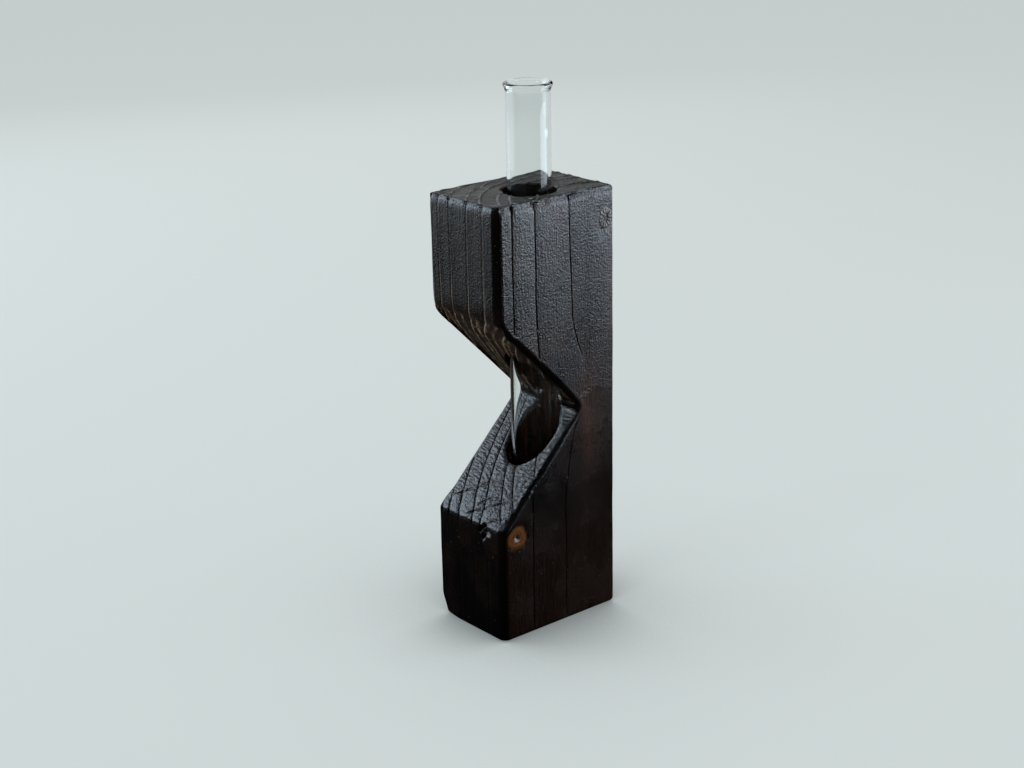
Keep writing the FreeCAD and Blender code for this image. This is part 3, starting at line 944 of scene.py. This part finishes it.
def charred_softwood():
    """Dark base colour from patches, ring share and marks, with painted shade where the carving is deep and
    in the sooty and shaded marks, and a painted highlight on the ring crests; roughness from the patches;
    less lacquer on the ends, on the underside of the notch, low down and in the sooty and shaded marks;
    and a bump of streaks, ticks, skin and rays."""
    fixed = {"IOR": 1.5, "Coat Roughness": 0.25, "Coat IOR": 1.5}
    material, tree, shader = new_material("charred_softwood", fixed)
    maps = {"Grain": uv_map(tree, "grain"), "Round": uv_map(tree, "round")}
    wood = add_node(tree, "Group", maps, node_tree=wood_place_group)
    marks = split(tree, uv_map(tree, "marks"))
    knots = split(tree, uv_map(tree, "knots"))
    skin = fine_skin(tree, 55.0, 1500.0)
    spot = split(tree, object_place(tree))
    upwards = split(tree, add_node(tree, "NewGeometry", {})["True Normal"])[2]
    end_grain = remap(tree, math_node(tree, "ABSOLUTE", upwards), 0.30, 0.60)
    side_grain = math_node(tree, "SUBTRACT", 1.0, end_grain)
    top_end = remap(tree, upwards, 0.80, 0.95)
    underside = remap(tree, upwards, -0.35, -0.60)
    knot_ray = high_knot_rays(tree, spot)
    streaks = noise(tree, wood["Along"], 1.35, 3.0, 0.6)
    ticks = noise(tree, wood["Across"], 1.15, 1.5, 0.5)

    warm = remap(tree, plus(tree, skin["Patch"], times(tree, streaks, 0.6)), 0.55, 1.25)
    late = remap(tree, wood["Share"], 0.75, 0.97, 0.0, 0.35)
    rubbed = times(tree, marks[0], remap(tree, streaks, 0.3, 0.65, 0.35, 1.0))
    # worn crests, partly a painted highlight on the ridges
    worn_and_lit = times(tree, knots[1], remap(tree, streaks, 0.35, 0.6, 0.25, 0.9))
    specks = remap(tree, noise(tree, object_place(tree), 750.0, 1.0), 0.755, 0.80, 0.0, 0.5)
    # painted shade: the colour darkens where the carving is deep, in grooves, cracks, pits and the bore's
    # mouth
    painted_recess_shade = remap(tree, split(tree, maps["Round"])[1], 0.40, 1.1, 0.0, 0.8)
    colour = CHAR
    for share, tint in (
        (warm, WARM_CHAR), (top_end, END_CHAR), (late, LATE_WOOD), (rubbed, RUBBED_WOOD),
        (worn_and_lit, WORN_CREST_AND_HIGHLIGHT), (specks, SPECK), (knot_ray, KNOT_RAY), (knots[0], PALE_WOOD),
        (marks[1], SOOT_AND_SHADE), (painted_recess_shade, PAINTED_RECESS_SHADE),
    ):
        colour = mix_colour(tree, share, colour, tint)
    feed(tree, shader["Base Color"], colour)

    bare = math_node(tree, "MAXIMUM", top_end, underside)
    low_side = times(tree, remap(tree, spot[2], 0.095, 0.050), side_grain)
    dull = math_node(tree, "MAXIMUM", math_node(tree, "MAXIMUM", bare, marks[1]), low_side)
    gloss = plus(tree, remap(tree, skin["Patch"], 0.0, 1.0, 0.26, 0.36), times(tree, bare, 0.22))
    feed(tree, shader["Roughness"], plus(tree, gloss, times(tree, low_side, -0.07)))
    feed(tree, shader["Coat Weight"], remap(tree, dull, 0.0, 1.0, 0.6, 0.05))

    tick_height = times(tree, times(tree, ticks, end_grain), remap(tree, spot[2], 0.043, 0.052, 0.3, 1.0))
    relief = times(tree, times(tree, streaks, side_grain), 0.40)
    for height, strength in ((tick_height, 1.30), (skin["Skin"], 0.44), (knot_ray, 0.6)):
        relief = plus(tree, relief, times(tree, height, strength))
    normal = bump_normal(tree, relief, 1.0, 0.0004)
    feed(tree, shader["Normal"], normal)
    feed(tree, shader["Coat Normal"], normal)
    return material


wood = charred_softwood()
block.data.materials.clear()
block.data.materials.append(wood)
print("wood nodes:", len(wood.node_tree.nodes))

# %% [markdown]
# ## Clear glass
#
# Glass has no colour of its own, so all of its look is the bending of light in its wall. A trace of
# unevenness in the wall and a breath of dust keep it from looking too perfect.

# %% Build the glass
def clear_glass():
    """A plain transmissive shader; the skin group gives faint dust as roughness and a slow waviness as
    bump."""
    fixed = {"Base Color": (0.97, 0.99, 0.985, 1.0), "Transmission Weight": 1.0, "IOR": 1.47}
    material, tree, shader = new_material("clear_glass", fixed)
    skin = fine_skin(tree, 90.0, 160.0)
    feed(tree, shader["Roughness"], remap(tree, skin["Patch"], 0.5, 1.0, 0.0, 0.025))
    feed(tree, shader["Normal"], bump_normal(tree, skin["Skin"], 0.05, 0.0002))
    return material


glass = clear_glass()
tube.data.materials.append(glass)
print("glass nodes:", len(glass.node_tree.nodes))

# %% [markdown]
# ## Joining the pieces to the model
#
# Each piece takes the place of one CAD solid and moves with the same body, so the tube can be lifted
# out of the block.

# %% Ride and replace
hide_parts("timber_block")
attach(block, "block")
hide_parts("test_tube")
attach(tube, "tube")

# %% [markdown]
# ## Floor and light
#
# The floor is plain and pale to the camera, and through the glass. To the lacquered wood it is dark, or
# every upright face would mirror a white floor; only far behind the block it is pale to every ray. The
# sky does the same. Then come twelve soft lamps. The overhead one fills the top end. The front, rim and
# right ones are what the wide near face mirrors, and three behind act as a pale wall lit by a window.
# The corner and glint lamps shine on the lower slant, the edge lamp on the arrises, and the bounce and
# graze lamps, at floor level, reach the underside of the notch.

# %% Floor
PALE = (0.60, 0.655, 0.645, 1.0)
PALE_MIRRORED = (0.595, 0.630, 0.640, 1.0)
BLACK = (0.0, 0.0, 0.0, 1.0)
FLOOR_RADIUS = 3000.0
FLOOR_SIDES = 96


def seen_directly(tree):
    """1 for camera rays and for rays that came only through glass, else 0."""
    path = add_node(tree, "LightPath", {})
    unmirrored = math_node(tree, "LESS_THAN", path["Glossy Depth"], 0.5)
    through = times(tree, path["Is Transmission Ray"], unmirrored)
    return math_node(tree, "MAXIMUM", path["Is Camera Ray"], through)


def pale_behind(tree):
    """1 on the floor well behind the block, fading to 0 near the block and in front of it."""
    place = split(tree, object_place(tree))
    away = remap(tree, length(tree, place[0], place[1]), 0.46, 0.76)
    behind = remap(tree, plus(tree, times(tree, place[0], 0.8), place[1]), -0.25, 0.15)
    return times(tree, away, behind)


def pale_floor():
    """A disc of 3 m radius. Most of its pale colour is its own glow, so it stays even far away. Its dim
    base colour takes a faint real shadow, and its glow is darkened where the block closes off the open air
    above it, a painted shadow of the block."""
    turn = full_turn(FLOOR_SIDES)
    rim = FLOOR_RADIUS * joined(np.cos(turn), np.sin(turn), 0.0)
    floor = add_object("floor", fill_mesh("floor", rim, np.arange(FLOOR_SIDES), np.array([FLOOR_SIDES])))
    fixed = {"Emission Strength": 0.93, "Roughness": 0.8, "Specular IOR Level": 0.0}
    material, tree, shader = new_material("pale_floor", fixed)
    direct = seen_directly(tree)
    seen = math_node(tree, "MAXIMUM", direct, pale_behind(tree))
    base = mix_colour(tree, seen, (0.02, 0.016, 0.014, 1.0), (0.20, 0.218, 0.214, 1.0))
    feed(tree, shader["Base Color"], base)
    # painted shadow: the glow is darkened by ambient occlusion near the block
    openness = add_node(tree, "AmbientOcclusion", {"Distance": 0.12}, samples=8)["AO"]
    lit = times(tree, seen, remap(tree, openness, 0.45, 1.0, 0.35, 1.0))
    glow = mix_colour(tree, direct, PALE_MIRRORED, PALE)
    feed(tree, shader["Emission Color"], mix_colour(tree, lit, BLACK, glow))
    floor.data.materials.append(material)


pale_floor()
print("floor radius in m:", FLOOR_RADIUS * MM)

# %% Lamps and sky
COOL = (0.75, 0.865, 1.0)
COOLER = (0.69, 0.84, 1.0)
PLAIN = (0.97, 0.99, 1.0)
WARM = (1.0, 0.88, 0.74)
LAMPS = {
    "overhead_lamp": ((0.45, 0.30, 0.80), (0, 0, 0.1), (0.7, 0.7), 0.65, PLAIN),
    "front_lamp": ((0.40, -0.46, 0.09), (0, 0, 0.12), (0.45, 0.14), 4.2, COOL),
    "rim_lamp": ((0.48, -0.58, 0.28), (0, 0, 0.15), (0.6, 0.25), 1.1, COOL),
    "bounce_lamp": ((-0.30, 0.05, 0.004), (-0.30, 0.051, 1.0), (0.3, 0.3), 2.1, WARM),
    "graze_lamp": ((0.10, 0.24, 0.004), (0.10, 0.241, 1.0), (0.34, 0.3), 0.10, WARM),
    "corner_lamp": ((-0.60, 0.78, 0.42), (0, 0, 0.05), (0.5, 0.3), 3.8, COOLER),
    "glint_lamp": ((-0.75, 0.05, 0.80), (0, 0, 0.18), (0.10, 0.10), 22.0, COOL),
    "edge_lamp": ((0.60, -0.60, 0.66), (0, 0, 0.16), (0.30, 0.30), 14.0, COOL),
    "right_lamp": ((0.62, -0.34, 0.12), (0, 0, 0.12), (0.40, 0.16), 4.0, COOL),
    "low_wall_lamp": ((-0.35, 0.85, 0.22), (0, 0, 0.1), (0.8, 0.3), 1.8, COOL),
    "high_wall_lamp": ((-0.45, 0.85, 0.62), (0, 0, 0.1), (0.8, 0.4), 1.7, COOL),
    "far_wall_lamp": ((0.45, 0.90, 0.45), (0, 0, 0.1), (0.8, 0.5), 1.0, PLAIN),
}
THROUGH_GLASS = ("corner_lamp", "high_wall_lamp", "low_wall_lamp", "glint_lamp")


def soft_lamp(name, place, aim, size, radiance, tint):
    """A rectangular lamp at a place, turned so that its front looks at the aim. Its power is the
    radiance times pi times its area. The camera doesn't see it, and only some lamps are seen through
    the glass, where the others would show as bright patches."""
    data = bpy.data.lights.new(name, "AREA")
    data.shape = "RECTANGLE"
    data.size, data.size_y = size
    data.energy = radiance * math.pi * size[0] * size[1]
    data.color = tint
    lamp = add_object(name, data)
    lamp.location = place
    lamp.rotation_euler = (Vector(place) - Vector(aim)).to_track_quat("Z", "Y").to_euler()
    lamp.visible_camera = False
    lamp.visible_transmission = name in THROUGH_GLASS
    lamp.visible_glossy = name != "bounce_lamp"
    lamp.visible_diffuse = name != "edge_lamp"


def grey_sky():
    """A faint even sky; the camera sees it in the floor's own pale colour."""
    world = bpy.data.worlds.new("sky")
    world.use_nodes = True
    scene.world = world
    tree = world.node_tree
    inside = add_node(tree, "LightPath", {})["Is Transmission Ray"]
    unseen = mix_colour(tree, inside, (0.006, 0.006, 0.006, 1.0), (0.36, 0.39, 0.385, 1.0))
    sky = mix_colour(tree, seen_directly(tree), unseen, PALE)
    feed(tree, tree.nodes["Background"].inputs["Color"], sky)


for name, settings in LAMPS.items():
    soft_lamp(name, *settings)
grey_sky()
